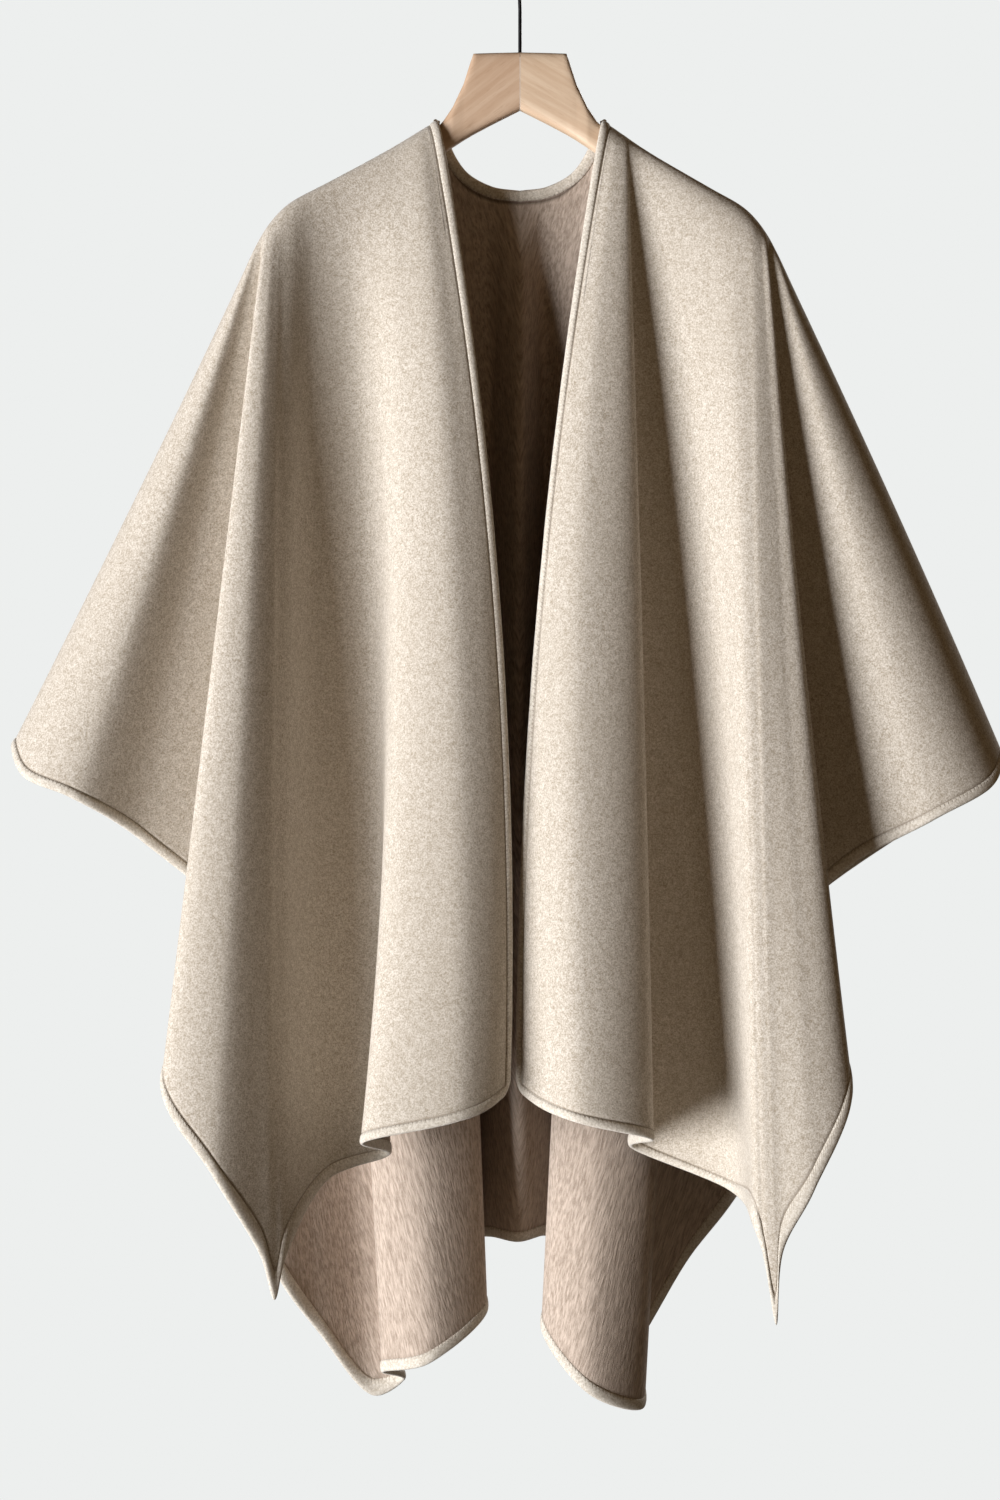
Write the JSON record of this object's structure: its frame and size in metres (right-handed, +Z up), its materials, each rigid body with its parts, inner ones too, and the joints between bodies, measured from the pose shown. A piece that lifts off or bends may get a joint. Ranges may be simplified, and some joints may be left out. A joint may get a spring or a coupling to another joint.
{
  "type": "shawl cape on a wooden hanger",
  "caption": "Open-front shawl cape of double-faced wool with wide folded sleeves and long front points, hanging in deep folds on a contoured wooden hanger.",
  "frame": {"origin": "inside the top of the hanger's hook, where a rail carries it", "axes": "+Z up along the hook's stem, -Y towards the open front, +X to the viewer's right, which is the wearer's left"},
  "size_m": [0.8329, 0.2954, 1.264],
  "materials": {
    "wool": "heathered oatmeal wool outside, brushed taupe brown inside, matt",
    "wool_edge": "turned and bound cream edge, matt",
    "beech": "pale, lightly oiled",
    "hook_wire": "black, satin"
  },
  "bodies": {
    "root": {"right_front": "wool", "right_front_rim": "wool_edge", "left_front": "wool", "left_front_rim": "wool_edge", "back_panel": "wool", "back_rim": "wool_edge", "neck_rim": "wool_edge", "hanger_right_half": "beech", "hanger_left_half": "beech", "hook": "hook_wire"}
  },
  "joints": []
}
